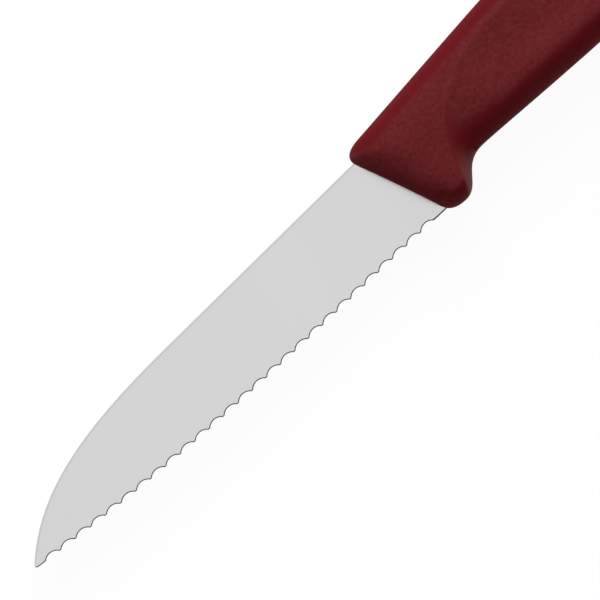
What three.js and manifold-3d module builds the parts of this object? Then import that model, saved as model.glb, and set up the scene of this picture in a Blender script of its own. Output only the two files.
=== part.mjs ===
// Serrated paring knife: a stamped and taper-ground steel blade with a hidden tang,
// and a one-piece plastic handle moulded round that tang.
// Millimetres and degrees. The knife is drawn with the spine on y = 0, the handle's front at x = 0 there,
// +X to the point, +Y to the cutting edge and +Z out of the left side. It lies on its right side.
import * as THREE from "three";
import { mergeVertices } from "three/addons/utils/BufferGeometryUtils.js";
import Module from "manifold-3d";

// Blade blank, stamped from flat strip
const pointReach = 75.1; // handle to the point, before the point is blunted
const pointDepth = 9.7; // spine line down to the point
const heelDepth = 14.3; // spine line down to the edge, where the edge meets the handle
const spineDrop = 36.7; // length over which the spine comes down to the point
const spineDropAngle = 42.8; // slope of the spine at the point
const spineDropStartPull = 15.6; // pull of the drop's curve where it leaves the straight spine
const spineDropEndPull = 11.2; // pull of the drop's curve at the point
const edgeHeelAngle = 1.5; // slope of the edge at the heel
const edgePointAngle = 8.2; // slope of the edge at the point
const edgePull = 29.7; // pull of the edge's curve at both ends
const pointBlunt = 0.95; // length rounded off at the point, along spine and edge

// Grinding
const spineThickness = 1.0; // strip thickness, kept at the spine by the handle
const heelEdgeThickness = 0.46; // left by the taper grind at the edge, by the handle
const pointSpineThickness = 0.62; // left by the taper grind on the spine line, at the point
const plungeBack = 1.2; // the grind runs out this far inside the handle

// Wave grind, on the right side only
const scallopPitch = 2.82;
const scallopDepth = 0.56; // from the teeth to the scallop's middle
const toothFlat = 0.32; // straight edge left between two scallops
const toothStock = 0.03; // taken off the blank's edge at the teeth
const scallopBevel = 18; // angle of the ground hollow to the blade's face
const pointPlain = 1.05; // straight edge between the blunted point and the first scallop
const heelPlain = 2.3; // least straight edge between the last scallop and the handle

// Tang
const tangLength = 68; // handle's front to the tang's end
const tangWidth = 7.6;
const tangDrop = 0.9; // tang's upper side below the spine line
const tangNeck = 9.5; // length over which the blade narrows to the tang
const spineSeat = 3; // the spine runs on this far into the handle
const heelSeat = 2.5; // the blade's rear corner turns back into the handle this far behind its front
const lockHoleDiameter = 4.2; // the plastic runs through these holes and locks the tang
const lockHoleFirst = 26; // handle's front to the first hole
const lockHoleSpacing = 26;
const lockHoleCount = 2;
const mouldGap = 0.3; // between steel and plastic

// Handle outline, seen from the side
const handleLength = 110; // along the spine line
const frontSlant = 21; // the front leans back from spine to guard
const spineCover = 1.86; // plastic above the spine at the front
const topRise = 4.3; // slope of the top behind the front
const frontCorner = 3.1; // length of the rounded corner between front and top, along the top
const frontCornerDrop = 0.5; // the same corner starts this far below the spine line, on the front
const crownBack = 63; // front to the highest place of the top
const crownHeight = 5.5; // above the spine line
const guardBack = 8.3; // front to the lowest place of the finger guard
const guardDepth = 15.25; // below the spine line
const guardNose = 1; // the guard's rounded nose starts this far above the edge's heel
const hollowBack = 15.4; // front to the deepest place of the finger hollow
const hollowDepth = 11.2; // below the spine line
const bellyBack = 64; // front to the fullest place of the underside
const bellyDepth = 13.3;
const hookBack = 100; // front to the lowest place of the butt's hook
const hookDepth = 13.9;
const buttTop = 4.5; // flat end of the butt, upper corner below the spine line
const buttBottom = 8.5; // flat end of the butt, lower corner below the spine line

// Pulls of the outline's curves, as shares of the stretch that each one shapes
const crownPull = 1 / 3; // top, from the front corner to the crown
const crownRearPull = 0.6;
const buttTopPull = 0.35;
const guardRearPull = 0.4;
const hollowFrontPull = 0.56;
const hollowRearPull = 0.08;
const bellyFrontPull = 0.55;
const bellyRearPull = 0.5;
const hookFrontPull = 0.33;
const hookRearPull = 0.6;
const buttLowPull = 0.6;
const sweepLowPull = 0.09; // grip panel's front edge, along the handle
const sweepLowRise = 0.345; // and up from the guard
const sweepTopPull = 0.85;

// Handle section
const handleThickness = 12;
const roundness = 2.3; // of the rounded edges: 2 is an ellipse, more is fuller
const topRound = 2.8; // height of the rounded top, from its ridge to the flat of the side
const undersideRound = 4.6; // height of the rounded underside, along the grip and in the finger hollow
const noseRound = 2.8; // the same at the front of the guard
const guardRound = 1.7; // the same at the back of the guard, where the finger lies
const guardRear = 0.3; // where that is, as a share of the way from guard to hollow
const roundingShare = 0.62; // most of a short section that its two roundings may take
const frontFlat = 4; // thickness of the flat front, round the blade
const frontRound = 5; // length over which the front swells to full thickness
const buttFlat = 3; // thickness of the flat end of the butt
const buttRound = 9; // length over which the butt narrows

// Sunk grip panel, one on each side
const panelDepth = 0.75;
const panelLowDepth = 0.25; // the floor rises to this depth at the panel's lower edge
const panelFloorRise = 5; // over this distance
const guardSlope = 1.6; // width of the slope round the panel's floor, behind the guard
const panelSlope = 4.2; // the same along the top and the underside
const guardCrest = 0.8; // the slope's upper edge is rounded this far to both sides, behind the guard
const panelCrest = 1.2; // the same along the top and the underside
const panelSweepStart = 9; // front to the panel's edge, at the guard
const panelSweepEnd = 31; // front to the place where that edge has swept up to the top
const panelTopMargin = 2.6; // top of the handle to the panel
const panelLowStart = 25; // front to the place where the panel leaves the finger hollow
const panelLowMargin = 4.5; // underside of the handle to the panel
const panelEnd = 94; // front to the panel's rear end

// Facets
const outlineSteps = 20;
const scallopSteps = 8;
const roundSteps = 4;
const sideSteps = 15;
const frontSections = 36; // close together at the guard
const gripSections = 22;
const buttSections = 9;

const wasm = await Module();
wasm.setup();

const radians = THREE.MathUtils.degToRad;
const frontLean = Math.tan(radians(frontSlant));

// A closed geometry as a solid that can be cut and joined
function solidFrom(geometry) {
  const bare = geometry.clone();
  bare.deleteAttribute("normal");
  bare.deleteAttribute("uv");
  const merged = mergeVertices(bare, 1e-4);
  return new wasm.Manifold(
    new wasm.Mesh({
      numProp: 3,
      vertProperties: merged.attributes.position.array,
      triVerts: new Uint32Array(merged.index.array),
    }),
  );
}

// A finished solid as a geometry
function geometryFrom(solid) {
  const mesh = solid.getMesh();
  const geometry = new THREE.BufferGeometry();
  geometry.setAttribute("position", new THREE.BufferAttribute(mesh.vertProperties, 3));
  geometry.setIndex(new THREE.BufferAttribute(mesh.triVerts, 1));
  geometry.computeVertexNormals();
  return geometry;
}

// The x of a place on the handle's slanted front, or behind it, at depth y below the spine line
function frontX(y, behind = 0) {
  return -y * frontLean - behind;
}

// The cutting edge before the scallops, from heel to point, moved outwards by grow
function edgeCurve(grow = 0) {
  const heelSlope = radians(edgeHeelAngle);
  const pointSlope = radians(edgePointAngle);
  const heel = new THREE.Vector2(frontX(heelDepth), heelDepth + grow);
  const end = new THREE.Vector2(
    pointReach - pointBlunt * Math.cos(pointSlope),
    pointDepth + grow + pointBlunt * Math.sin(pointSlope),
  );
  return new THREE.CubicBezierCurve(
    heel,
    new THREE.Vector2(heel.x + edgePull * Math.cos(heelSlope), heel.y - edgePull * Math.sin(heelSlope)),
    new THREE.Vector2(end.x - edgePull * Math.cos(pointSlope), end.y + edgePull * Math.sin(pointSlope)),
    end,
  );
}

// The stamped blank, blade and tang in one, with its outline moved outwards by grow
function blankOutline(grow) {
  const slope = radians(spineDropAngle);
  const dropEnd = new THREE.Vector2(
    pointReach - pointBlunt * Math.cos(slope),
    pointDepth - grow - pointBlunt * Math.sin(slope),
  );
  const dropStart = pointReach - spineDrop;
  const edge = edgeCurve(grow);
  const tangTop = tangDrop - grow;
  const tangBottom = tangDrop + tangWidth + grow;
  const tangRadius = (tangBottom - tangTop) / 2;
  const tangRear = -tangLength - grow;
  const neckRear = frontX(heelDepth, tangNeck);

  const outline = new THREE.Shape();
  outline.moveTo(-spineSeat, -grow);
  outline.lineTo(dropStart, -grow);
  outline.bezierCurveTo(
    dropStart + spineDropStartPull,
    -grow,
    dropEnd.x - spineDropEndPull * Math.cos(slope),
    dropEnd.y - spineDropEndPull * Math.sin(slope),
    dropEnd.x,
    dropEnd.y,
  );
  outline.quadraticCurveTo(pointReach, pointDepth, edge.v3.x, edge.v3.y);
  outline.bezierCurveTo(edge.v2.x, edge.v2.y, edge.v1.x, edge.v1.y, edge.v0.x, edge.v0.y);
  outline.quadraticCurveTo(frontX(tangBottom, heelSeat + grow), tangBottom, neckRear - grow, tangBottom);
  outline.lineTo(tangRear + tangRadius, tangBottom);
  outline.absarc(tangRear + tangRadius, (tangTop + tangBottom) / 2, tangRadius, Math.PI / 2, 1.5 * Math.PI);
  outline.lineTo(-spineSeat - 2 * tangDrop, tangTop);
  outline.closePath();

  for (let i = 0; i < lockHoleCount; i++) {
    const hole = new THREE.Path();
    const holeX = -lockHoleFirst - i * lockHoleSpacing;
    hole.absarc(holeX, tangDrop + tangWidth / 2, lockHoleDiameter / 2 - grow, 0, 2 * Math.PI, true);
    outline.holes.push(hole);
  }
  return outline;
}

// Half the blade's thickness after the taper grind, which leaves one flat plane on each side
function halfThickness(x, y) {
  const acrossLoss = ((spineThickness - heelEdgeThickness) / heelDepth) * y;
  const alongLoss = ((spineThickness - pointSpineThickness) / pointReach) * x;
  return (spineThickness - acrossLoss - alongLoss) / 2;
}

// What the taper grind takes off the left side: a wedge with its lower face on the ground plane
function taperWedge(grow) {
  const margin = 4 * spineThickness;
  const wedge = new THREE.BoxGeometry(1, 1, 1);
  const corner = wedge.attributes.position;
  for (let i = 0; i < corner.count; i++) {
    const y = corner.getY(i) < 0 ? -margin : heelDepth + margin;
    const x = corner.getX(i) < 0 ? frontX(y, plungeBack + grow) : pointReach + margin;
    const z = corner.getZ(i) < 0 ? halfThickness(x, y) + grow : spineThickness + margin;
    corner.setXYZ(i, x, y, z);
  }
  return solidFrom(wedge);
}

// The ground blade with its tang, before the scallops. Grown by a clearance it is the cavity in the handle.
function groundBlank(grow) {
  const thickness = spineThickness + 2 * grow;
  const sheet = new THREE.ExtrudeGeometry(blankOutline(grow), {
    depth: thickness,
    bevelEnabled: false,
    curveSegments: outlineSteps,
  });
  sheet.translate(0, 0, -thickness / 2);
  const blank = solidFrom(sheet);
  const leftWedge = taperWedge(grow);
  const rightWedge = leftWedge.mirror([0, 0, 1]);
  return blank.subtract(leftWedge).subtract(rightWedge);
}

// What the dressed wheel takes off the right side, in one run along the edge from point to heel.
// Its path climbs through the blade at the bevel angle and comes out on the left face along the scallops.
function waveCutter() {
  const edge = edgeCurve();
  const edgeLength = edge.getLength();
  const count = Math.floor((edgeLength - pointPlain - heelPlain) / scallopPitch);
  const halfScallop = (scallopPitch - toothFlat) / 2;
  const arcRadius = (halfScallop ** 2 + scallopDepth ** 2) / (2 * scallopDepth);
  const arcAngle = Math.asin(halfScallop / arcRadius);

  const wave = [[0, toothStock]];
  for (let i = 0; i < count; i++) {
    for (let k = 0; k <= scallopSteps; k++) {
      const angle = arcAngle * ((2 * k) / scallopSteps - 1);
      const along = (i + 0.5) * scallopPitch + arcRadius * Math.sin(angle);
      wave.push([along, toothStock + scallopDepth - arcRadius * (1 - Math.cos(angle))]);
    }
  }
  wave.push([count * scallopPitch, toothStock]);

  const bevel = radians(scallopBevel);
  const reach = (2 * spineThickness) / Math.sin(bevel);
  const positions = [];
  for (const [along, depth] of wave) {
    const share = 1 - (pointPlain + along) / edgeLength;
    const tangent = edge.getTangentAt(share);
    const outwards = new THREE.Vector3(-tangent.y, tangent.x, 0);
    const flat = edge.getPointAt(share);
    const onFace = new THREE.Vector3(flat.x, flat.y, 0).addScaledVector(outwards, -depth);
    onFace.z = halfThickness(onFace.x, onFace.y);
    const wheelPath = outwards.clone().multiplyScalar(Math.cos(bevel));
    wheelPath.z = Math.sin(bevel);
    const intoWheel = outwards.clone().multiplyScalar(Math.sin(bevel));
    intoWheel.z = -Math.cos(bevel);
    const inner = onFace.clone().addScaledVector(wheelPath, -reach);
    const outer = onFace.clone().addScaledVector(wheelPath, reach);
    const outerLow = outer.clone().addScaledVector(intoWheel, 2 * spineThickness);
    const innerLow = inner.clone().addScaledVector(intoWheel, 2 * spineThickness);
    for (const corner of [inner, outer, outerLow, innerLow]) positions.push(corner.x, corner.y, corner.z);
  }
  return solidFrom(loftGeometry(positions, 4));
}

// A closed body through rings of equally many points, with flat ends
function loftGeometry(positions, ringSize) {
  const last = positions.length / 3 - ringSize;
  const index = [];
  for (let ring = 0; ring < last; ring += ringSize) {
    for (let j = 0; j < ringSize; j++) {
      const a = ring + j;
      const b = ring + ((j + 1) % ringSize);
      index.push(a, b, a + ringSize, b, b + ringSize, a + ringSize);
    }
  }
  const half = ringSize / 2;
  for (let j = 0; j < half; j++) {
    const near = (ringSize - j) % ringSize;
    const far = ringSize - j - 1;
    if (near !== j) {
      index.push(j, near, far);
      index.push(last + j, last + far, last + near);
    }
    if (far !== j + 1) {
      index.push(j, far, j + 1);
      index.push(last + j, last + j + 1, last + far);
    }
  }
  const geometry = new THREE.BufferGeometry();
  geometry.setAttribute("position", new THREE.Float32BufferAttribute(positions, 3));
  geometry.setIndex(index);
  return geometry;
}

function bladeGeometry() {
  return geometryFrom(groundBlank(0).subtract(waveCutter()));
}

// The handle's outline in two rails, each from the front to the butt
function topRail() {
  const topSlope = Math.tan(radians(topRise));
  const cornerEnd = new THREE.Vector2(-frontCorner, -spineCover - frontCorner * topSlope);
  const cornerY = -spineCover / (1 + frontLean * topSlope);
  const straightPull = crownPull * (crownBack - frontCorner);
  const tail = handleLength - crownBack;
  const rail = new THREE.Path();
  rail.moveTo(frontX(frontCornerDrop), frontCornerDrop);
  rail.quadraticCurveTo(frontX(cornerY), cornerY, cornerEnd.x, cornerEnd.y);
  rail.bezierCurveTo(
    cornerEnd.x - straightPull,
    cornerEnd.y - straightPull * topSlope,
    -crownBack + straightPull,
    -crownHeight,
    -crownBack,
    -crownHeight,
  );
  rail.bezierCurveTo(
    -crownBack - crownRearPull * tail,
    -crownHeight,
    -handleLength,
    buttTop - (1 - buttTopPull) * (buttTop + crownHeight),
    -handleLength,
    buttTop,
  );
  return rail;
}

function undersideRail() {
  const guardFront = heelDepth - guardNose;
  const guardLength = hollowBack - guardBack;
  const gripLength = bellyBack - hollowBack;
  const hookLength = hookBack - bellyBack;
  const buttLength = handleLength - hookBack;
  const rail = new THREE.Path();
  rail.moveTo(frontX(guardFront), guardFront);
  rail.quadraticCurveTo(frontX(guardDepth), guardDepth, -guardBack, guardDepth);
  rail.bezierCurveTo(
    -guardBack - guardRearPull * guardLength,
    guardDepth,
    -hollowBack + hollowFrontPull * guardLength,
    hollowDepth,
    -hollowBack,
    hollowDepth,
  );
  rail.bezierCurveTo(
    -hollowBack - hollowRearPull * gripLength,
    hollowDepth,
    -bellyBack + bellyFrontPull * gripLength,
    bellyDepth,
    -bellyBack,
    bellyDepth,
  );
  rail.bezierCurveTo(
    -bellyBack - bellyRearPull * hookLength,
    bellyDepth,
    -hookBack + hookFrontPull * hookLength,
    hookDepth,
    -hookBack,
    hookDepth,
  );
  rail.bezierCurveTo(
    -hookBack - hookRearPull * buttLength,
    hookDepth,
    -handleLength,
    buttBottom + buttLowPull * (hookDepth - buttBottom),
    -handleLength,
    buttBottom,
  );
  return rail;
}

// The y of a rail at a distance behind the front
function railY(points, behind) {
  const next = points.findIndex((p) => -p.x >= behind);
  const a = points[next - 1];
  const b = points[next];
  return THREE.MathUtils.mapLinear(behind, -a.x, -b.x, a.y, b.y);
}

// Outline of the sunk grip panel: it opens into the finger hollow, sweeps up behind the guard,
// follows the top and the underside, and ends round near the butt
function panelOutline(top, underside) {
  const topPoints = top.getSpacedPoints(20 * outlineSteps);
  const lowPoints = underside.getSpacedPoints(20 * outlineSteps);
  const below = guardDepth + undersideRound;
  const upper = (behind) => new THREE.Vector2(-behind, railY(topPoints, behind) + panelTopMargin);
  const lower = (behind) => new THREE.Vector2(-behind, railY(lowPoints, behind) - panelLowMargin);
  const sweepTop = upper(panelSweepEnd);
  const sweepLength = panelSweepEnd - panelSweepStart;
  const endPull = (panelEnd - crownBack) / 4;
  const endMiddle = (upper(panelEnd - endPull).y + lower(panelEnd - endPull).y) / 2;
  const along = (first, last, place) => [1, 2, 3, 4].map((i) => place(first + ((last - first) * i) / 4));
  const lowOpen = lower(panelLowStart);

  const outline = new THREE.Path();
  outline.moveTo(-panelSweepStart + panelSlope / 2, below);
  outline.lineTo(-panelSweepStart, guardDepth);
  outline.bezierCurveTo(
    -panelSweepStart - sweepLowPull * sweepLength,
    guardDepth - sweepLowRise * (guardDepth - sweepTop.y),
    -panelSweepEnd + sweepTopPull * sweepLength,
    sweepTop.y,
    sweepTop.x,
    sweepTop.y,
  );
  outline.splineThru(along(panelSweepEnd, panelEnd - endPull, upper));
  outline.quadraticCurveTo(-panelEnd, upper(panelEnd - endPull).y + panelSlope / 2, -panelEnd, endMiddle);
  const turn = lower(panelEnd - endPull);
  outline.quadraticCurveTo(-panelEnd, turn.y - panelSlope / 2, turn.x, turn.y);
  outline.splineThru(along(panelEnd - endPull, panelLowStart, lower));
  outline.quadraticCurveTo(lowOpen.x + panelSlope, lowOpen.y, -hollowBack - panelSlope, below);
  outline.closePath();
  return outline.getSpacedPoints(12 * outlineSteps);
}

// Distance of a place from an open line of points
function lineDistance(place, points) {
  const closest = new THREE.Vector3();
  const line = new THREE.Line3();
  let nearest = Infinity;
  for (let i = 0; i + 1 < points.length; i++) {
    line.start.set(points[i].x, points[i].y, 0);
    line.end.set(points[i + 1].x, points[i + 1].y, 0);
    line.closestPointToPoint(place, true, closest);
    nearest = Math.min(nearest, closest.distanceTo(place));
  }
  return nearest;
}

// How far a place lies inside a closed outline, less than 0 outside it
function insetDistance(place, outline) {
  let inside = false;
  for (let i = 0; i + 1 < outline.length; i++) {
    const a = outline[i];
    const b = outline[i + 1];
    const spans = a.y > place.y !== b.y > place.y;
    if (spans && place.x < a.x + ((b.x - a.x) * (place.y - a.y)) / (b.y - a.y)) inside = !inside;
  }
  const nearest = lineDistance(place, outline);
  return inside ? nearest : -nearest;
}

// How open the panel is at a distance inside its outline: 0 outside it, 1 on its floor.
// The slope is steep behind the guard and eases towards the top.
function panelShare(inset, behind) {
  const ease = THREE.MathUtils.smoothstep(behind, panelSweepStart, panelSweepEnd);
  const crest = THREE.MathUtils.lerp(guardCrest, panelCrest, ease);
  const slope = THREE.MathUtils.lerp(guardSlope, panelSlope, ease);
  const crested = Math.max(inset + crest, 0) ** 2 / (4 * crest);
  const short = 1 - Math.min((inset > crest ? inset : crested) / slope, 1);
  return 1 - short * short;
}

// Rounded swell from 0 at an edge to 1 at a distance of length behind it
function swell(distance, length) {
  const short = 1 - Math.min(Math.max(distance / length, 0), 1);
  return Math.sqrt(1 - short ** roundness);
}

// Height of the rounded underside outside the panel: least at the back of the guard
function lowRoundAt(behind) {
  const rear = guardBack + guardRear * (hollowBack - guardBack);
  const toGuard = THREE.MathUtils.smoothstep(behind, -frontX(heelDepth), rear);
  const toGrip = THREE.MathUtils.smoothstep(behind, rear, hollowBack + panelSlope);
  const atGuard = THREE.MathUtils.lerp(noseRound, guardRound, toGuard);
  return THREE.MathUtils.lerp(atGuard, undersideRound, toGrip);
}

// Places of the sections along the rails: close together at guard and butt, wider along the grip
function sectionPlaces() {
  const frontShare = 0.24;
  const buttShare = 0.1;
  const places = [];
  for (let i = 0; i < frontSections; i++) places.push((frontShare * i) / frontSections);
  for (let i = 0; i < gripSections; i++) {
    places.push(frontShare + ((1 - frontShare - buttShare) * i) / gripSections);
  }
  for (let i = 0; i <= buttSections; i++) {
    places.push(1 - buttShare + buttShare * Math.sin((Math.PI / 2) * (i / buttSections)));
  }
  return places;
}

// Distances along one section, from the top ridge to the underside's ridge
function sectionDistances(length, topHeight, lowHeight) {
  const distances = [];
  for (let i = 0; i < roundSteps; i++) {
    distances.push(topHeight * (1 - Math.cos((Math.PI / 2) * (i / roundSteps))));
  }
  for (let i = 0; i < sideSteps; i++) {
    distances.push(topHeight + ((length - topHeight - lowHeight) * i) / sideSteps);
  }
  for (let i = 0; i <= roundSteps; i++) {
    distances.push(length - lowHeight * (1 - Math.sin((Math.PI / 2) * (i / roundSteps))));
  }
  return distances;
}

// The handle's outer form, lofted through its sections: left half, then right half, of every ring
function handleLoft() {
  const top = topRail();
  const underside = undersideRail();
  const panel = panelOutline(top, underside);
  const lowLine = underside.getSpacedPoints(20 * outlineSteps);
  const half = handleThickness / 2;
  const across = 2 * roundSteps + sideSteps;
  const positions = [];
  const spot = new THREE.Vector3();

  for (const place of sectionPlaces()) {
    const upper = top.getPoint(place);
    const lower = underside.getPoint(place);
    const length = upper.distanceTo(lower);
    const lowRound = lowRoundAt(-lower.x);
    const share = Math.min(1, (roundingShare * length) / (topRound + lowRound));
    const topHeight = share * topRound;
    const lowHeight = share * lowRound;
    const ring = sectionDistances(length, topHeight, lowHeight).map((distance) => {
      const flat = upper.clone().lerp(lower, distance / length);
      spot.set(flat.x, flat.y, 0);
      const behindFront = (frontX(flat.y) - flat.x) * Math.cos(radians(frontSlant));
      const front = THREE.MathUtils.lerp(frontFlat / handleThickness, 1, swell(behindFront, frontRound));
      const butt = THREE.MathUtils.lerp(buttFlat / handleThickness, 1, swell(flat.x + handleLength, buttRound));
      const toLow = lineDistance(spot, lowLine);
      const rise = THREE.MathUtils.smoothstep(toLow, panelLowMargin, panelLowMargin + panelFloorRise);
      const floor = half - THREE.MathUtils.lerp(panelLowDepth, panelDepth, rise);
      const outside = half * swell(toLow, share * lowRoundAt(-flat.x));
      const inside = floor * swell(toLow, share * undersideRound);
      const side = THREE.MathUtils.lerp(outside, inside, panelShare(insetDistance(spot, panel), -flat.x));
      return [flat.x, flat.y, side * swell(distance, topHeight) * front * butt];
    });
    for (let j = 0; j <= across; j++) positions.push(...ring[j]);
    for (let j = across - 1; j > 0; j--) positions.push(ring[j][0], ring[j][1], -ring[j][2]);
  }

  return loftGeometry(positions, 2 * across);
}

function handleGeometry() {
  return geometryFrom(solidFrom(handleLoft()).subtract(groundBlank(mouldGap)));
}

const steel = new THREE.MeshStandardMaterial({ color: 0xd2d2d0, roughness: 0.35, metalness: 1 });
const redPlastic = new THREE.MeshStandardMaterial({ color: 0x6b2127, roughness: 0.55, metalness: 0 });

const blade = new THREE.Mesh(bladeGeometry(), steel);
blade.name = "blade";
const handle = new THREE.Mesh(handleGeometry(), redPlastic);
handle.name = "handle";

// The origin is under the middle of the knife, on the surface that it lies on
const knife = new THREE.Group();
knife.add(blade, handle);
const box = new THREE.Box3().setFromObject(knife);
const middle = box.getCenter(new THREE.Vector3());
knife.position.set(-middle.x, -middle.y, -box.min.z);

const part = new THREE.Group();
part.add(knife);
export default part;
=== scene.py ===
import bpy
import bmesh
import math
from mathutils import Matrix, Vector
from mathutils.geometry import interpolate_bezier
from mathutils.kdtree import KDTree


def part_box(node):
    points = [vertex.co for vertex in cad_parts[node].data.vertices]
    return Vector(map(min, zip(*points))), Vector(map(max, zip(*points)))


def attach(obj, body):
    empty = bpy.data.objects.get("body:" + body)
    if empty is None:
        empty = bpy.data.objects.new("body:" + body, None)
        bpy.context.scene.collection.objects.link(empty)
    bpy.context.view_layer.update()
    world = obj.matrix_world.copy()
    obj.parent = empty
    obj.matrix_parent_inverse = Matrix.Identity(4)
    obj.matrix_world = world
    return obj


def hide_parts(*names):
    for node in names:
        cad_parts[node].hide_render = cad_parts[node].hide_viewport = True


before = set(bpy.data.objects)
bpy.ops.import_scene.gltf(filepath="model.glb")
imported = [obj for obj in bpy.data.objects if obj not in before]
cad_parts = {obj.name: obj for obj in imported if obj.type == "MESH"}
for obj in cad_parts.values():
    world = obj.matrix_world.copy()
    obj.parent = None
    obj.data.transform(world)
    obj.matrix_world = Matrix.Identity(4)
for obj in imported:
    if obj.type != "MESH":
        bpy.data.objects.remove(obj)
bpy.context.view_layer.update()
scene = bpy.context.scene
scene.view_settings.view_transform = "Standard"
mm = 0.001
tiny = 1e-9  # keeps divisions off zero
print("frame loaded:", sorted(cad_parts))


# handle, in millimetres, drawn from its front on the spine line:
# behind = distance back from the front, below = distance down towards the cutting edge
handleSpec = {
    "length": 110,
    "thickness": 12,
    "frontSlant": 19.86,  # degrees that the front leans back
    "frontShift": 0.075,  # where it crosses the spine line
    "frontBow": 0.085, "bowMiddle": 7, "bowReach": 6.5,  # the front is a little hollow
    "spineCover": 1.86,  # plastic above the spine at the front
    "topRise": 4.3,  # degrees
    "frontCorner": 3.1, "frontCornerDrop": 0.5,  # rounded corner between front and top
    "crownBack": 63, "crownHeight": 5.5,
    "heelDepth": 14.4, "guardNose": 0.8,
    "guardBack": 8.36, "guardDepth": 15.38, "guardRear": 11,
    "hollowBack": 15.4, "hollowDepth": 11.32,
    "bellyBack": 64, "bellyDepth": 13.3,
    "hookBack": 100, "hookDepth": 13.9,
    "buttTop": 4.5, "buttBottom": 8.5,
    # how far the outline's curves run straight on at their ends, as shares of their spans
    "crownPull": 0.6, "buttTopPull": 0.35, "guardPull": 0.4, "hollowLead": 1.4,
    "hollowPull": 0.08, "bellyPull": 0.5, "hookPull": 0.6,
    "roundness": 2.3,  # of the rounded edges: 2 is an ellipse, more is fuller
    "cornerRound": 4.5, "cornerRoundEnd": (1.5, 7),  # wider rounding where the top meets the front
    "topRound": 2.6, "undersideRound": 4.8, "noseRound": 2.7, "guardRound": 1.1,
    "crownWidth": 7, "crownDrop": 0.324,  # the sides lean in towards the top, over this width
    "hollowRound": 6.8, "hollowRoundEnd": (13.4, 18),  # wider rounding where the finger lies
    "roundingShare": 0.62,  # most of a short section that its two roundings may take
    "frontFlat": 4, "frontRound": 5.2,
    "frontBulge": 1.2, "bulgeStart": (0, 3.5), "bulgeEnd": (6, 10),  # wider at mid height
    "buttFlat": 3, "buttRound": 9,
    "slotGap": 0.04,  # between plastic and blade
}
panelSpec = {
    # the floor rises towards the panel's lower edge
    "depth": 0.75, "lowDepth": 0.25, "floorRise": 5, "riseStart": (16, 28),
    # width of the step behind the guard, at the top, and elsewhere
    "guardSlope": 2.4, "topSlope": 0.8, "slope": 2.5,
    "matchStart": (12, 18),
    "frontCrest": 0.3, "crest": 1.2,  # rounding of the step's upper edge
    # the floor is level with the side along the front edge, and sinks from there
    "matchLimit": 2.4, "matchFade": (2, 9), "matchReach": 40, "leastFloor": 0.1,
    "sweepStart": 9, "sweepEnd": 31,
    "sweepPull": (0.09, 0.345), "sweepTopPull": 0.85,  # shape of the sweep's curve
    "edgeSteps": 60,
    "topMargin": 2.95,
    "lowStart": 25, "lowMargin": 4.5,
    "end": 94,
}
handleMesh = {
    "frontColumns": 150, "gripColumns": 84, "buttColumns": 32, "capColumns": 5,
    "frontShare": 0.24, "gripShare": 0.9,  # where the finer front ends and the butt begins
    "roundRows": 16, "sideRows": 64,
    "merge": 0.02, "mirrorMerge": 0.0001,
    "spacing": 0.04,  # of the points that distances are measured to
    "edgeStep": 0.001,  # share of the panel's edge that its direction is read over
    "sharpAngle": 50,
}

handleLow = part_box("handle")[0]
bladeLow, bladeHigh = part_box("blade")
drawOrigin = Vector((
    handleLow.x + handleSpec["length"] * mm,
    bladeLow.y,  # spine line
    (bladeLow.z + bladeHigh.z) / 2,
))


def smoothStep(value, low, high):
    t = min(max((value - low) / (high - low), 0), 1)
    return t * t * (3 - 2 * t)


def mix(a, b, t):
    return a + (b - a) * t


def swell(distance, length):  # rounding, 0 at an edge and 1 inside it
    short = 1 - min(max(distance / length, 0), 1)
    return math.sqrt(1 - short ** handleSpec["roundness"])


def cubic(start, startPull, endPull, end, steps=160):
    corners = [Vector((x, y, 0)) for x, y in (start, startPull, endPull, end)]
    return interpolate_bezier(*corners, steps)


def quadratic(start, pull, end, steps=80):
    a, p, b = Vector(start), Vector(pull), Vector(end)
    return cubic(a, a.lerp(p, 2 / 3), b.lerp(p, 2 / 3), b, steps)


# an open line of points, read by its share of length or by distance behind the front
class Rail:
    def __init__(self, *stretches):
        self.points = [p for stretch in stretches for p in stretch]
        self.lengths = [0.0]
        for a, b in zip(self.points, self.points[1:]):
            self.lengths.append(self.lengths[-1] + (b - a).length)

    def along(self, share):
        wanted = share * self.lengths[-1]
        low, high = 0, len(self.points) - 1
        while high - low > 1:
            middle = (low + high) // 2
            low, high = (middle, high) if self.lengths[middle] <= wanted else (low, middle)
        span = max(self.lengths[high] - self.lengths[low], tiny)
        return self.points[low].lerp(self.points[high], (wanted - self.lengths[low]) / span)

    def depthAt(self, behind):
        for a, b in zip(self.points, self.points[1:]):
            if a.x <= behind < b.x:
                return mix(a.y, b.y, (behind - a.x) / max(b.x - a.x, tiny))
        return self.points[-1].y

    def spotCount(self):
        return int(self.lengths[-1] / handleMesh["spacing"])

    def nearest(self, share=1):  # points close together, for measuring distances
        count = self.spotCount()
        tree = KDTree(count + 1)
        for i in range(int(share * count) + 1):
            tree.insert(self.along(i / count), i)
        tree.balance()
        return tree


def frontRoundAt(below):
    h = handleSpec
    bulge = h["frontBulge"] * smoothStep(below, *h["bulgeStart"])
    return h["frontRound"] + bulge * (1 - smoothStep(below, *h["bulgeEnd"]))


def topRoundAt(behind):
    h = handleSpec
    return mix(h["cornerRound"], h["topRound"], smoothStep(behind, *h["cornerRoundEnd"]))


frontLean = math.tan(math.radians(handleSpec["frontSlant"]))


def frontBack(below):  # how far back the slanted front is at a depth
    return below * frontLean + handleSpec["frontShift"]


def frontBowAt(below):
    h = handleSpec
    return h["frontBow"] * max(1 - ((below - h["bowMiddle"]) / h["bowReach"]) ** 2, 0)


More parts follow.
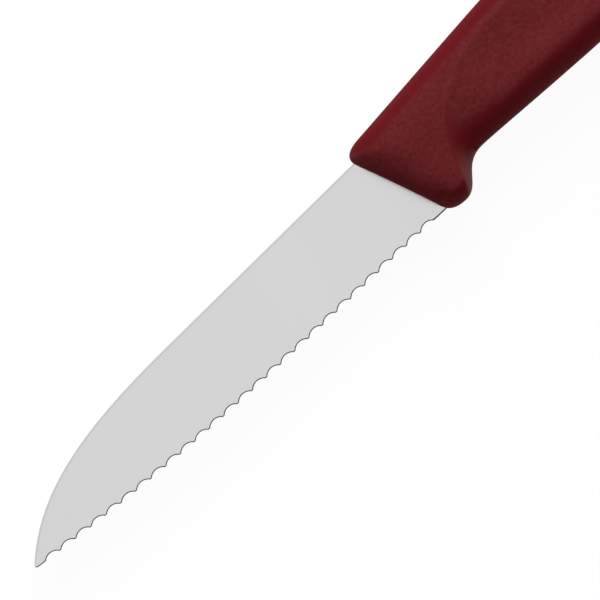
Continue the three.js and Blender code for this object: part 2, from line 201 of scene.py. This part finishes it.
def makeTopRail():
    h = handleSpec
    rise = math.tan(math.radians(h["topRise"]))
    drop = h["frontCornerDrop"]
    corner = (h["frontCorner"], -h["spineCover"] - h["frontCorner"] * rise)
    cornerY = -h["spineCover"] / (1 + frontLean * rise)
    pull = (h["crownBack"] - h["frontCorner"]) / 3
    tail = h["length"] - h["crownBack"]
    crown = (h["crownBack"], -h["crownHeight"])
    return Rail(
        quadratic((frontBack(drop), drop), (frontBack(cornerY), cornerY), corner),
        cubic(
            corner,
            (corner[0] + pull, corner[1] - pull * rise),
            (crown[0] - pull, crown[1]),
            crown,
        ),
        cubic(
            crown,
            (crown[0] + h["crownPull"] * tail, crown[1]),
            (h["length"], crown[1] + h["buttTopPull"] * (h["buttTop"] - crown[1])),
            (h["length"], h["buttTop"]),
        ),
    )


def makeLowRail():
    h = handleSpec
    front = h["heelDepth"] - h["guardNose"]
    guardPull = h["guardPull"] * (h["hollowBack"] - h["guardBack"])
    hollowLead = h["hollowLead"] * guardPull
    grip = h["bellyBack"] - h["hollowBack"]
    hook = h["hookBack"] - h["bellyBack"]
    butt = h["length"] - h["hookBack"]
    guard = (h["guardBack"], h["guardDepth"])
    hollow = (h["hollowBack"], h["hollowDepth"])
    belly = (h["bellyBack"], h["bellyDepth"])
    tail = (h["hookBack"], h["hookDepth"])
    return Rail(
        quadratic((frontBack(front), front), (frontBack(guard[1]), guard[1]), guard),
        cubic(guard, (guard[0] + guardPull, guard[1]), (hollow[0] - hollowLead, hollow[1]), hollow),
        cubic(
            hollow,
            (hollow[0] + h["hollowPull"] * grip, hollow[1]),
            (belly[0] - h["bellyPull"] * grip, belly[1]),
            belly,
        ),
        cubic(belly, (belly[0] + hook / 2, belly[1]), (tail[0] - hook / 3, tail[1]), tail),
        cubic(
            tail,
            (tail[0] + h["hookPull"] * butt, tail[1]),
            (h["length"], h["buttBottom"] + h["hookPull"] * (tail[1] - h["buttBottom"])),
            (h["length"], h["buttBottom"]),
        ),
    )


topRail = makeTopRail()
lowRail = makeLowRail()


# opens into the finger hollow, sweeps up behind the guard, follows top and underside
def makePanelEdge():
    h, p = handleSpec, panelSpec
    outside = h["guardDepth"] + h["undersideRound"]
    endPull = (p["end"] - h["crownBack"]) / 4
    turn = p["end"] - endPull

    def upper(behind):
        return Vector((behind, topRail.depthAt(behind) + p["topMargin"], 0))

    def lower(behind):
        return Vector((behind, lowRail.depthAt(behind) - p["lowMargin"], 0))

    def steps(first, last, place):
        count = p["edgeSteps"]
        return [place(mix(first, last, i / count)) for i in range(count + 1)]

    sweepTop = upper(p["sweepEnd"])
    sweepLength = p["sweepEnd"] - p["sweepStart"]
    pullBack, pullUp = p["sweepPull"]
    middle = (p["end"], (upper(turn).y + lower(turn).y) / 2)
    return Rail(
        [Vector((p["sweepStart"] - p["slope"] / 2, outside, 0))],
        cubic(
            (p["sweepStart"], h["guardDepth"]),
            (p["sweepStart"] + pullBack * sweepLength, mix(h["guardDepth"], sweepTop.y, pullUp)),
            (p["sweepEnd"] - p["sweepTopPull"] * sweepLength, sweepTop.y),
            sweepTop.xy,
        ),
        steps(p["sweepEnd"], turn, upper),
        quadratic(upper(turn).xy, (p["end"], upper(turn).y + p["slope"] / 2), middle),
        quadratic(middle, (p["end"], lower(turn).y - p["slope"] / 2), lower(turn).xy),
        steps(turn, p["lowStart"], lower),
        quadratic(
            lower(p["lowStart"]).xy,
            (p["lowStart"] - p["slope"], lower(p["lowStart"]).y),
            (h["hollowBack"] + p["slope"], outside),
        ),
    )


panelEdge = makePanelEdge()
panelNearest = panelEdge.nearest()
panelCount = panelEdge.spotCount()
topNearest = topRail.nearest(handleMesh["gripShare"])
lowNearest = lowRail.nearest(handleMesh["gripShare"])


# rounding of the underside inside the panel, widest where the finger lies
def hollowRoundAt(behind):
    h = handleSpec
    return mix(h["hollowRound"], h["undersideRound"], smoothStep(behind, *h["hollowRoundEnd"]))


# rounding of the underside outside the panel, least at the back of the guard
def lowRoundAt(behind):
    h = handleSpec
    onGuard = smoothStep(behind, h["guardBack"], h["guardRear"])
    atGuard = mix(h["noseRound"], h["guardRound"], onGuard)
    inHollow = smoothStep(behind, h["guardRear"], h["hollowBack"] + panelSpec["slope"])
    return mix(atGuard, hollowRoundAt(behind), inHollow)


def outsideHalf(spot, share, toTop, toLow):  # half the thickness outside the panel
    h = handleSpec
    short = 1 - min(toTop / h["crownWidth"], 1)
    crowned = 1 - h["crownDrop"] * short * short
    return h["thickness"] / 2 * crowned * swell(toLow, share * lowRoundAt(spot.x))


def insideHalf(spot, share, toLow):  # half the thickness on the panel's floor
    h, p = handleSpec, panelSpec
    rise = smoothStep(toLow, p["lowMargin"], p["lowMargin"] + p["floorRise"])
    lowDepth = mix(p["depth"], p["lowDepth"], smoothStep(spot.x, *p["riseStart"]))
    floor = h["thickness"] / 2 - mix(lowDepth, p["depth"], rise)
    return floor * swell(toLow, share * hollowRoundAt(spot.x))


edgeSpots = [panelEdge.along(i / panelCount) for i in range(panelCount + 1)]
edgeEnd = max(range(panelCount + 1), key=lambda i: edgeSpots[i].x)


# 1 on the panel's edge at the sweep and along the top, 0 at the rear and along the underside
def onFrontEdge(index):
    if index > edgeEnd:
        return 0
    fadeEnd = panelSpec["end"] - panelSpec["slope"]
    return 1 - smoothStep(edgeSpots[index].x, handleSpec["crownBack"], fadeEnd)


# what brings the panel's floor level with the side around it, along the panel's front edge
def makeMatch():
    p = panelSpec
    tree = KDTree(edgeEnd)
    match = []
    for i, spot in enumerate(edgeSpots[:edgeEnd]):
        tree.insert(spot, i)
        toTop, toLow = topNearest.find(spot)[2], lowNearest.find(spot)[2]
        floor = max(insideHalf(spot, 1, toLow), p["leastFloor"])
        level = outsideHalf(spot, 1, toTop, toLow) / floor
        atTop = smoothStep(spot.x, *p["matchStart"])
        match.append(mix(1, min(level, p["matchLimit"]), onFrontEdge(i) * atTop))
    tree.balance()
    reach = p["matchReach"]
    windows = [match[max(i - reach, 0):i + reach] for i in range(len(match))]
    return tree, [sum(window) / len(window) for window in windows]


frontNearest, panelMatch = makeMatch()


def matchAt(spot):
    near, index, distance = frontNearest.find(spot)
    return mix(panelMatch[index], 1, smoothStep(distance, *panelSpec["matchFade"]))


# half the side's thickness, before the top, front and butt are rounded
def halfThickness(spot, share, toTop, toLow):
    p = panelSpec
    step = handleMesh["edgeStep"]
    near, index, distance = panelNearest.find(spot)
    place = min(max(index / panelCount, step), 1 - step)
    ahead = panelEdge.along(place + step) - panelEdge.along(place - step)
    inset = distance if ahead.cross(spot - near).z > 0 else -distance
    front = onFrontEdge(index)
    crest = mix(p["crest"], p["frontCrest"], front)
    eased = inset if inset > crest else max(inset + crest, 0) ** 2 / (4 * crest)
    frontSlope = mix(p["guardSlope"], p["topSlope"], smoothStep(near.x, *p["matchStart"]))
    short = 1 - min(eased / mix(p["slope"], frontSlope, front), 1)
    outside = outsideHalf(spot, share, toTop, toLow)
    inside = insideHalf(spot, share, toLow) * matchAt(spot)
    return mix(outside, inside, 1 - short * short)


def rowAngles():  # from a ridge to the flat of the side
    rows = handleMesh["roundRows"]
    return [math.pi / 2 * i / rows for i in range(rows)]


def sectionEnds():  # sections fan out round the front, and stand straight towards the butt
    m = handleMesh
    places = [m["frontShare"] * i / m["frontColumns"] for i in range(m["frontColumns"])]
    for i in range(m["gripColumns"]):
        places.append(mix(m["frontShare"], m["gripShare"], i / m["gripColumns"]))
    ends = [(topRail.along(place), lowRail.along(place)) for place in places]
    starts = topRail.along(m["gripShare"]).x, lowRail.along(m["gripShare"]).x
    for i in range(m["buttColumns"] + 1):
        turn = math.sin(math.pi / 2 * i / m["buttColumns"])  # closer together round the butt
        behind = [mix(start, handleSpec["length"], turn) for start in starts]
        rails = zip(behind, (topRail, lowRail))
        ends.append([Vector((x, rail.depthAt(x), 0)) for x, rail in rails])
    return ends


def sectionRow(top, low):  # the left half of one section, from top ridge to underside ridge
    h = handleSpec
    length = (low - top).length
    share = min(1, h["roundingShare"] * length / (h["topRound"] + h["undersideRound"]))
    topHeight = share * topRoundAt(top.x)
    lowHeight = share * min(lowRoundAt(low.x), h["undersideRound"])
    angles = rowAngles()
    sides = handleMesh["sideRows"]
    distances = [topHeight * (1 - math.cos(a)) for a in angles]
    distances += [mix(topHeight, length - lowHeight, i / sides) for i in range(sides + 1)]
    distances += [length - lowHeight * (1 - math.cos(a)) for a in reversed(angles)]
    row = []
    for distance in distances:
        spot = top.lerp(low, distance / length)
        behindFront = (spot.x - frontBack(spot.y)) * math.cos(math.radians(h["frontSlant"]))
        front = mix(h["frontFlat"] / h["thickness"], 1, swell(behindFront, frontRoundAt(spot.y)))
        spot.x += frontBowAt(spot.y) * (1 - smoothStep(behindFront, 0, h["frontRound"]))
        butt = mix(h["buttFlat"] / h["thickness"], 1, swell(h["length"] - spot.x, h["buttRound"]))
        toTop = min(topNearest.find(spot)[2], distance)
        toLow = min(lowNearest.find(spot)[2], length - distance)
        half = halfThickness(spot, share, toTop, toLow) * swell(distance, topHeight) * front * butt
        onRidge = min(distance, length - distance) < handleMesh["merge"] / 2  # closes the ridge
        row.append(Vector((spot.x, spot.y, 0 if onRidge else half)))
    return row


def toFrame(spot):  # behind, below and out of the left side, to the shared frame
    return drawOrigin + Vector((-spot.x, spot.y, spot.z)) * mm


def flattened(row, share):
    return [Vector((p.x, p.y, p.z * share)) for p in row]


def openEdges(bm):
    return sum(1 for e in bm.edges if not e.is_manifold)


def buildHandle():
    caps = handleMesh["capColumns"]
    sections = [sectionRow(top, low) for top, low in sectionEnds()]
    frontCap = [flattened(sections[0], i / caps) for i in range(caps)]
    buttCap = [flattened(sections[-1], 1 - (i + 1) / caps) for i in range(caps)]
    columns = frontCap + sections + buttCap
    rows = len(sections[0])
    bm = bmesh.new()
    bmesh.ops.create_grid(bm, x_segments=len(columns) - 1, y_segments=rows - 1, size=1)
    for v in bm.verts:
        column = round((v.co.x + 1) / 2 * (len(columns) - 1))
        row = round((v.co.y + 1) / 2 * (rows - 1))
        v.co = columns[column][row]
    skin = bm.verts[:] + bm.edges[:] + bm.faces[:]
    bmesh.ops.mirror(bm, geom=skin, axis="Z", merge_dist=handleMesh["mirrorMerge"])
    bmesh.ops.remove_doubles(bm, verts=bm.verts[:], dist=handleMesh["merge"])
    bmesh.ops.dissolve_degenerate(bm, edges=bm.edges[:], dist=handleMesh["merge"] / 2)
    for v in bm.verts:
        v.co = toFrame(v.co)
    bmesh.ops.recalc_face_normals(bm, faces=bm.faces[:])
    print("handle skin:", len(bm.verts), "points,", openEdges(bm), "open edges")
    return bm


def meshObject(name, bm):
    mesh = bpy.data.meshes.new(name)
    bm.to_mesh(mesh)
    bm.free()
    piece = bpy.data.objects.new(name, mesh)
    scene.collection.objects.link(piece)
    return piece


copyMerge = 0.002 * mm


def mergedCopy(mesh):  # without doubled points
    bm = bmesh.new()
    bm.from_mesh(mesh)
    bmesh.ops.remove_doubles(bm, verts=bm.verts[:], dist=copyMerge)
    bmesh.ops.dissolve_degenerate(bm, edges=bm.edges[:], dist=copyMerge / 2)
    return bm


def bladeCopy():
    return mergedCopy(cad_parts["blade"].data)


def cutSlot(piece):  # the plastic lies close round the blade and tang
    bm = bladeCopy()
    bm.normal_update()
    for v, out in [(v, v.normal.copy()) for v in bm.verts]:
        v.co += out * handleSpec["slotGap"] * mm
    cutter = meshObject("slotCutter", bm)
    cut = piece.modifiers.new("slot", "BOOLEAN")
    cut.object = cutter
    cut.operation = "DIFFERENCE"
    cut.solver = "EXACT"
    graph = bpy.context.evaluated_depsgraph_get()
    dressed = bpy.data.meshes.new_from_object(piece.evaluated_get(graph))
    bm = mergedCopy(dressed)
    spare = [v for v in bm.verts if len(v.link_edges) == 2]  # on the rim of the slot
    bmesh.ops.dissolve_verts(bm, verts=spare)
    print("handle with slot:", openEdges(bm), "open edges")
    bm.to_mesh(dressed)
    bm.free()
    piece.modifiers.clear()
    old, piece.data = piece.data, dressed
    bpy.data.meshes.remove(old)
    bpy.data.objects.remove(cutter)


# the mould is grained on the sides, less so on the ends and the top, smooth along the underside; the
# same share also paints a sheen there, a greyer and lighter red;
# each pair says over which turn of the surface, or distance behind the front, something fades in
grainAndSheenSpec = {
    "topFade": (0.35, 0.8), "lowFade": (0.1, 0.5),
    "endFade": (0.3, 0.8),
    "top": 0.05, "end": 0.75,
    # rubbed smoother: the upper corner of the front
    "corner": 0.6, "frontFacing": (0.2, 0.7), "topFacing": (0.1, 0.6),
    "crest": 0.6, "crestWidth": 1.1,  # the panel's upper edge
    # and the wall behind the guard, by the finger
    "guardStart": (7, 9), "guardEnd": (13, 16),
    "steep": (0.15, 0.5), "rearFacing": (0.1, 0.35),
}


def markGrainAndSheen(piece):
    g = grainAndSheenSpec
    share = piece.data.attributes.new("grainAndSheen", "FLOAT", "POINT")
    rubbed = piece.data.attributes.new("rubbed", "FLOAT", "POINT")
    for v in piece.data.vertices:
        out = v.normal
        spot = Vector(((drawOrigin.x - v.co.x) / mm, (v.co.y - drawOrigin.y) / mm, 0))
        near, index, distance = panelNearest.find(spot)
        onCrest = onFrontEdge(index) * smoothStep(near.x, *panelSpec["matchStart"])
        crest = g["crest"] * onCrest * (1 - smoothStep(distance, 0, g["crestWidth"]))
        atGuard = smoothStep(spot.x, *g["guardStart"]) * (1 - smoothStep(spot.x, *g["guardEnd"]))
        steep = smoothStep(1 - abs(out.z), *g["steep"]) * smoothStep(-out.x, *g["rearFacing"])
        corner = smoothStep(out.x, *g["frontFacing"]) * smoothStep(-out.y, *g["topFacing"])
        wall = atGuard * steep * (out.y > 0)
        rubbed.data[v.index].value = max(wall, crest, g["corner"] * corner)
        # painted sheen: the share falls away where the surface turns to the top, the underside and the
        # ends, so the greyer red stays on the faces that look up
        top = smoothStep(-out.y, *g["topFade"])
        low = smoothStep(out.y, *g["lowFade"])
        end = smoothStep(abs(out.x), *g["endFade"])
        share.data[v.index].value = mix(1, g["top"], top) * (1 - low) * mix(1, g["end"], end)


handlePiece = meshObject("mouldedHandle", buildHandle())
cutSlot(handlePiece)
markGrainAndSheen(handlePiece)
handlePiece.data.shade_smooth()
handlePiece.data.set_sharp_from_angle(angle=math.radians(handleMesh["sharpAngle"]))
print("handle:", len(handlePiece.data.polygons), "faces")


# blade: the ground sheet from the frame, with its rims softened and honed
bladeSpec = {
    "rim": 0.15 * mm,  # width of the honed line along the scallops, painted near black as a shade line along the cutting edge
    "spineShare": 1.9, "heelShare": 1.33,  # the spine's rim and the plain heel's painted dark rim are wider by this
    "rimStart": 0.3 * mm,  # inside the handle
    "heelEnd": -2.6,  # where the scallops start, in millimetres ahead of the front on the spine
    "honeDrop": 0.03 * mm,
    "spineDrop": 0.13 * mm,
    "dropShare": 0.3,  # most of the sheet's thickness that one side's rim takes away
    "pointFade": 1.5 * mm,  # the broken corner gets narrower over this distance from the point
    "spineFacing": -0.1, "edgeFacing": 0.1,  # how far the narrow face turns to spine or edge
    "flatFacing": 0.9, "planeSlack": 0.002 * mm,  # what belongs to the ground plane of a side
    "wallFacing": -0.5, "levelAngle": 0.001,  # what is joined along the spine
    "splitSlack": 0.0001 * mm,
    "smoothAngle": 12,
}
plain, honedPaintedDark, broken = 0, 1, 2  # finishes of the faces, in the order of the blade's materials


def joinFlat(bm, side):  # all faces on the ground plane of one side become one face
    bm.normal_update()
    facing = [f for f in bm.faces if f.normal.z * side > bladeSpec["flatFacing"]]
    ahead = [f for f in facing if f.calc_center_median().x > drawOrigin.x]
    widest = max(ahead, key=lambda f: f.calc_area())
    normal, level = widest.normal.copy(), widest.normal.dot(widest.verts[0].co)

    def onPlane(v):
        return abs(normal.dot(v.co) - level) < bladeSpec["planeSlack"]

    ground = [f for f in bm.faces if all(onPlane(v) for v in f.verts)]
    return bmesh.ops.dissolve_faces(bm, faces=ground, use_verts=True)["region"][0]


def breakRims(bm, flat, side):  # lowers the rim along the spine, and hones it along the cutting edge, where its near-black finish is a painted shade line
    b = bladeSpec
    point = max(flat.verts, key=lambda v: v.co.x).co.copy()
    finishes, limits = dict.fromkeys(flat.verts, plain), dict.fromkeys(flat.verts, 0)
    for e in flat.edges:
        beside = next(f for f in e.link_faces if f != flat)
        middle = (e.verts[0].co + e.verts[1].co) / 2
        inHandle = middle.x < drawOrigin.x - frontBack((middle.y - drawOrigin.y) / mm) * mm
        if inHandle:
            continue
        onSpine = beside.normal.y < b["spineFacing"]
        onEdge = beside.normal.y > b["edgeFacing"] and side > 0
        heights = [v.co.z for v in beside.verts]
        for v in e.verts:
            finishes[v] = max(finishes[v], broken * onSpine, honedPaintedDark * onEdge)
            limits[v] = max(limits[v], b["dropShare"] * (max(heights) - min(heights)))
    rims = bmesh.ops.inset_region(
        bm, faces=[flat], thickness=b["rim"], use_boundary=True, use_even_offset=True,
    )["faces"]
    inside = set(flat.verts)
    for f in rims:
        kinds = [finishes[v] for v in f.verts if v in finishes]
        shared = [kind for kind in (honedPaintedDark, broken) if kinds.count(kind) > 1]
        f.material_index = shared[0] if shared else plain
    around = {e for f in rims for e in f.edges}
    across = [e for e in around if (e.verts[0] in inside) != (e.verts[1] in inside)]
    for e in across:
        inner, outer = e.verts if e.verts[0] in inside else reversed(e.verts)
        marked = outer if outer in finishes else inner  # the operator keeps either point of the two
        kind = finishes[marked]
        onHeel = outer.co.x < drawOrigin.x + b["heelEnd"] * mm
        full = smoothStep((outer.co - point).length, 0, b["pointFade"])
        width = (1, b["heelShare"] if onHeel else 1, mix(1, b["spineShare"], full))[kind]
        drop = (0, b["honeDrop"], mix(b["honeDrop"], b["spineDrop"], full))[kind]
        inner.co = outer.co.lerp(inner.co, width)
        outer.co.z -= side * min(drop, limits[marked])


def splitAtFront(bm):  # a line of points just inside the handle, where the rims can start
    slant = math.radians(handleSpec["frontSlant"])
    ahead = Vector((math.cos(slant), math.sin(slant), 0))
    bmesh.ops.bisect_plane(
        bm, geom=bm.verts[:] + bm.edges[:] + bm.faces[:], dist=bladeSpec["splitSlack"],
        plane_co=drawOrigin - ahead * bladeSpec["rimStart"], plane_no=ahead,
    )


# the narrow face along the spine becomes a strip of quads, so that its corners can be lowered
def joinSpine(bm):
    bm.normal_update()
    spine = {f for f in bm.faces if f.normal.y < bladeSpec["wallFacing"]}
    inside = [e for e in bm.edges if len(e.link_faces) == 2 and spine.issuperset(e.link_faces)]
    level = [e for e in inside if e.calc_face_angle() < bladeSpec["levelAngle"]]
    bmesh.ops.dissolve_edges(bm, edges=level, use_verts=False)


def buildBlade():
    bm = bladeCopy()
    joinSpine(bm)
    splitAtFront(bm)
    for side in (1, -1):
        breakRims(bm, joinFlat(bm, side), side)
    bm.normal_update()
    print("blade:", len(bm.verts), "points,", len(bm.faces), "faces,", openEdges(bm), "open edges")
    return bm


bladePiece = meshObject("groundBlade", buildBlade())
bladePiece.data.shade_smooth()
bladePiece.data.set_sharp_from_angle(angle=math.radians(bladeSpec["smoothAngle"]))


# finishes
class Wire:  # one socket; sums on it add Math nodes
    def __init__(self, tree, socket=None):
        self.tree = tree
        self.socket = socket

    def add(self, kind, settings=None, inputs=None, out=0):
        node = self.tree.nodes.new(kind)
        for name, value in (settings or {}).items():
            setattr(node, name, value)
        for name, value in (inputs or {}).items():
            if isinstance(value, Wire):
                self.tree.links.new(value.socket, node.inputs[name])
            else:
                node.inputs[name].default_value = value
        return Wire(self.tree, node.outputs[out]) if len(node.outputs) else None

    def sum(self, operation, a, b):
        return self.add("ShaderNodeMath", {"operation": operation}, {0: a, 1: b})

    def __add__(self, other):
        return self.sum("ADD", self, other)

    def __radd__(self, other):
        return self.sum("ADD", other, self)

    def __sub__(self, other):
        return self.sum("SUBTRACT", self, other)

    def __rsub__(self, other):
        return self.sum("SUBTRACT", other, self)

    def __mul__(self, other):
        return self.sum("MULTIPLY", self, other)

    def __rmul__(self, other):
        return self.sum("MULTIPLY", other, self)


def newFinish(name):
    finish = bpy.data.materials.new(name)
    finish.use_nodes = True
    finish.node_tree.nodes.clear()
    return finish, Wire(finish.node_tree)


def place(wire, scale=(1, 1, 1)):  # object coordinates, stretched
    spot = wire.add("ShaderNodeTexCoord", out="Object")
    return wire.add("ShaderNodeMapping", None, {"Vector": spot, "Scale": scale})


def tint(wire, share, dark, light):  # between two colours, each a few numbers or a wire
    dark, light = (c if isinstance(c, Wire) else (*c, 1) for c in (dark, light))
    inputs = {"Factor": share, "A": dark, "B": light}
    return wire.add("ShaderNodeMix", {"data_type": "RGBA"}, inputs, "Result")


plasticSpec = {
    "smooth": (0.117, 0.0056, 0.0080),  # where the mould is smooth, without the painted sheen
    "deep": (0.1080, 0.0095, 0.0120), "lit": (0.1500, 0.0222, 0.0260),  # the grain's valleys and peaks, both greyer and lighter than the smooth red: a painted sheen, with painted glints on the lighter peaks
    "contrast": 2.2,  # of the speckle and its painted glints
    "grainAndSheen": 1600, "grainShare": 0.8, "grainHeight": 0.06 * mm, "grainStrength": 0.8,
    "cloud": 260, "cloudShare": 0.2,
    "roughness": 0.72, "roughnessSpread": 0.2, "specular": 0.035,
    "rubbed": 0.22, "rubbedRoughness": 0.5,  # a thin coat where it is rubbed smoother
}


def mouldedRed():
    s = plasticSpec
    finish, wire = newFinish("mouldedRed")
    spot = place(wire)
    grainAndSheenMask = wire.add("ShaderNodeAttribute", {"attribute_name": "grainAndSheen"}, out="Fac")
    rubbed = wire.add("ShaderNodeAttribute", {"attribute_name": "rubbed"}, out="Fac")
    grainAndSheen = wire.add("ShaderNodeTexNoise", None, {
        "Vector": spot, "Scale": s["grainAndSheen"], "Detail": 2.0, "Roughness": 0.6,
    })
    cloud = wire.add("ShaderNodeTexNoise", None, {"Vector": spot, "Scale": s["cloud"], "Detail": 3.0})
    pattern = s["grainShare"] * grainAndSheen + s["cloudShare"] * cloud - 0.5
    speckleAndSheen = tint(wire, 0.5 + s["contrast"] * pattern, s["deep"], s["lit"])
    bump = wire.add("ShaderNodeBump", None, {
        "Height": grainAndSheen * grainAndSheenMask, "Strength": s["grainStrength"], "Distance": s["grainHeight"],
    })
    shader = wire.add("ShaderNodeBsdfPrincipled", None, {
        # painted sheen: where the mould is grained, the base colour is the greyer, speckled red
        "Base Color": tint(wire, grainAndSheenMask, s["smooth"], speckleAndSheen),
        "Roughness": s["roughness"] + s["roughnessSpread"] * (grainAndSheen - 0.5),
        "Normal": bump,
        "Specular IOR Level": s["specular"],
        "Coat Weight": s["rubbed"] * rubbed,
        "Coat Roughness": s["rubbedRoughness"],
    })
    wire.add("ShaderNodeOutputMaterial", None, {"Surface": shader})
    return finish


steelSpec = {
    # grey between the grinding lines and on them, and roughness
    "finishes": {
        "satinSteel": (0.655, 0.71, 0.3),
        # painted shade: the honed rim's near-black grey stands in for the dark line along the cutting
        # edge
        "honedSteelPaintedDark": (0.02, 0.03, 0.4),
        "brokenCorner": (0.607, 0.647, 0.3),
    },
    "lines": (7000, 220, 220),  # grinding lines run from spine to edge
    "lineShare": 0.25, "lineHeight": 0.0015 * mm, "lineStrength": 0.12,
    "cloud": 45, "cloudShare": 0.75,
    "roughnessSpread": 0.06,
}


def groundSteel(name, deep, lit, roughness):
    s = steelSpec
    finish, wire = newFinish(name)
    lines = wire.add("ShaderNodeTexNoise", None, {
        "Vector": place(wire, s["lines"]), "Scale": 1.0, "Detail": 3.0,
    })
    cloud = wire.add("ShaderNodeTexNoise", None, {
        "Vector": place(wire), "Scale": s["cloud"], "Detail": 2.0,
    })
    bump = wire.add("ShaderNodeBump", None, {
        "Height": lines, "Strength": s["lineStrength"], "Distance": s["lineHeight"],
    })
    pattern = s["lineShare"] * lines + s["cloudShare"] * cloud
    shader = wire.add("ShaderNodeBsdfPrincipled", None, {
        "Base Color": tint(wire, pattern, (deep,) * 3, (lit,) * 3),
        "Metallic": 1.0,
        "Roughness": roughness + s["roughnessSpread"] * (lines - 0.5),
        "Normal": bump,
    })
    wire.add("ShaderNodeOutputMaterial", None, {"Surface": shader})
    return finish


handlePiece.data.materials.clear()
handlePiece.data.materials.append(mouldedRed())
for name, (deep, lit, roughness) in steelSpec["finishes"].items():
    bladePiece.data.materials.append(groundSteel(name, deep, lit, roughness))
for piece, node, slot in ((handlePiece, "handle", "red_plastic"), (bladePiece, "blade", "steel")):
    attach(piece, "root")
    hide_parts(node)
print("finishes set")


# stage
stageSpec = {
    "photoWidth": 88.1 * mm,  # what the photograph's 600 pixels span, at the height of the blade
    # millimetres from the handle's front on the spine to the photo's middle
    "middleAhead": 19.5, "middleBelow": 8.78,
    "turn": 135.51,
    "lens": 200,
    "floor": 3.0, "floorColour": (0.9, 0.9, 0.9, 1),
    # how much of the floor's white is light, and how much shows shade
    "floorLift": 0.945, "shadowShare": 0.06,
    "ambient": 0.36,
    "horizon": 0.4, "overhead": 0.75,  # the room's light at the horizon, and how far up it is full
    "keyPower": 9.5, "keySize": 0.7, "keyHeight": 38, "keyTurn": 35, "keyDistance": 0.92,
}


def addCamera():
    s = stageSpec
    data = bpy.data.cameras.new("photoCamera")
    data.lens = s["lens"]
    camera = bpy.data.objects.new("photoCamera", data)
    height = s["photoWidth"] * s["lens"] / data.sensor_width
    middle = drawOrigin + Vector((s["middleAhead"], s["middleBelow"], 0)) * mm
    camera.location = middle + Vector((0, 0, height))
    camera.rotation_euler = (0, 0, math.radians(s["turn"]))
    scene.collection.objects.link(camera)
    scene.camera = camera


def addLight(name, power, size, where):
    data = bpy.data.lights.new(name, "AREA")
    data.energy = power
    data.size = size
    light = bpy.data.objects.new(name, data)
    light.location = where
    light.rotation_euler = (-Vector(where)).to_track_quat("-Z", "Y").to_euler()
    light.visible_glossy = False
    scene.collection.objects.link(light)


def directRays(wire):  # 1 for what the camera sees, straight, mirrored or through something clear
    straight = wire.add("ShaderNodeLightPath", out="Is Camera Ray")
    mirrored = wire.add("ShaderNodeLightPath", out="Is Glossy Ray")
    through = wire.add("ShaderNodeLightPath", out="Is Transmission Ray")
    return wire.sum("MINIMUM", straight + mirrored + through, 1.0)


def addFloor():
    s = stageSpec
    bm = bmesh.new()
    bmesh.ops.create_grid(bm, x_segments=1, y_segments=1, size=s["floor"])
    floor = meshObject("floor", bm)
    finish, wire = newFinish("paleFloor")
    seen = directRays(wire)
    paint = wire.add("ShaderNodeBsdfDiffuse", None, {"Color": s["floorColour"]})
    shade = wire.add("ShaderNodeBsdfDiffuse", None, {"Color": (*[s["shadowShare"]] * 3, 1)})
    glow = wire.add("ShaderNodeEmission", None, {"Strength": s["floorLift"]})
    shown = wire.add("ShaderNodeAddShader", None, {0: shade, 1: glow})
    both = wire.add("ShaderNodeMixShader", None, {0: seen, 1: paint, 2: shown})
    wire.add("ShaderNodeOutputMaterial", None, {"Surface": both})
    floor.data.materials.append(finish)


def addWorld():
    s = stageSpec
    world = bpy.data.worlds.new("whiteRoom")
    world.use_nodes = True
    world.node_tree.nodes.clear()
    scene.world = world
    wire = Wire(world.node_tree)
    strength = s["ambient"] + (1 - s["ambient"]) * directRays(wire)
    direction = wire.add("ShaderNodeTexCoord", out="Generated")
    up = wire.add("ShaderNodeSeparateXYZ", None, {"Vector": direction}, "Z")
    room = wire.add("ShaderNodeMapRange", {"interpolation_type": "SMOOTHSTEP"}, {
        "Value": up, "From Min": 0.0, "From Max": s["overhead"], "To Min": s["horizon"], "To Max": 1.0,
    })
    sky = wire.add("ShaderNodeBackground", None, {"Color": (1, 1, 1, 1), "Strength": strength * room})
    wire.add("ShaderNodeOutputWorld", None, {"Surface": sky})


addCamera()
keyAngle = math.radians(stageSpec["keyHeight"])
keyTurn = math.radians(stageSpec["keyTurn"])  # from the spine's side towards the butt
keyPlace = Vector((
    -math.sin(keyTurn) * math.cos(keyAngle), -math.cos(keyTurn) * math.cos(keyAngle), math.sin(keyAngle)
)) * stageSpec["keyDistance"]
addLight("keyLight", stageSpec["keyPower"], stageSpec["keySize"], keyPlace)
addFloor()
addWorld()
print("stage set")
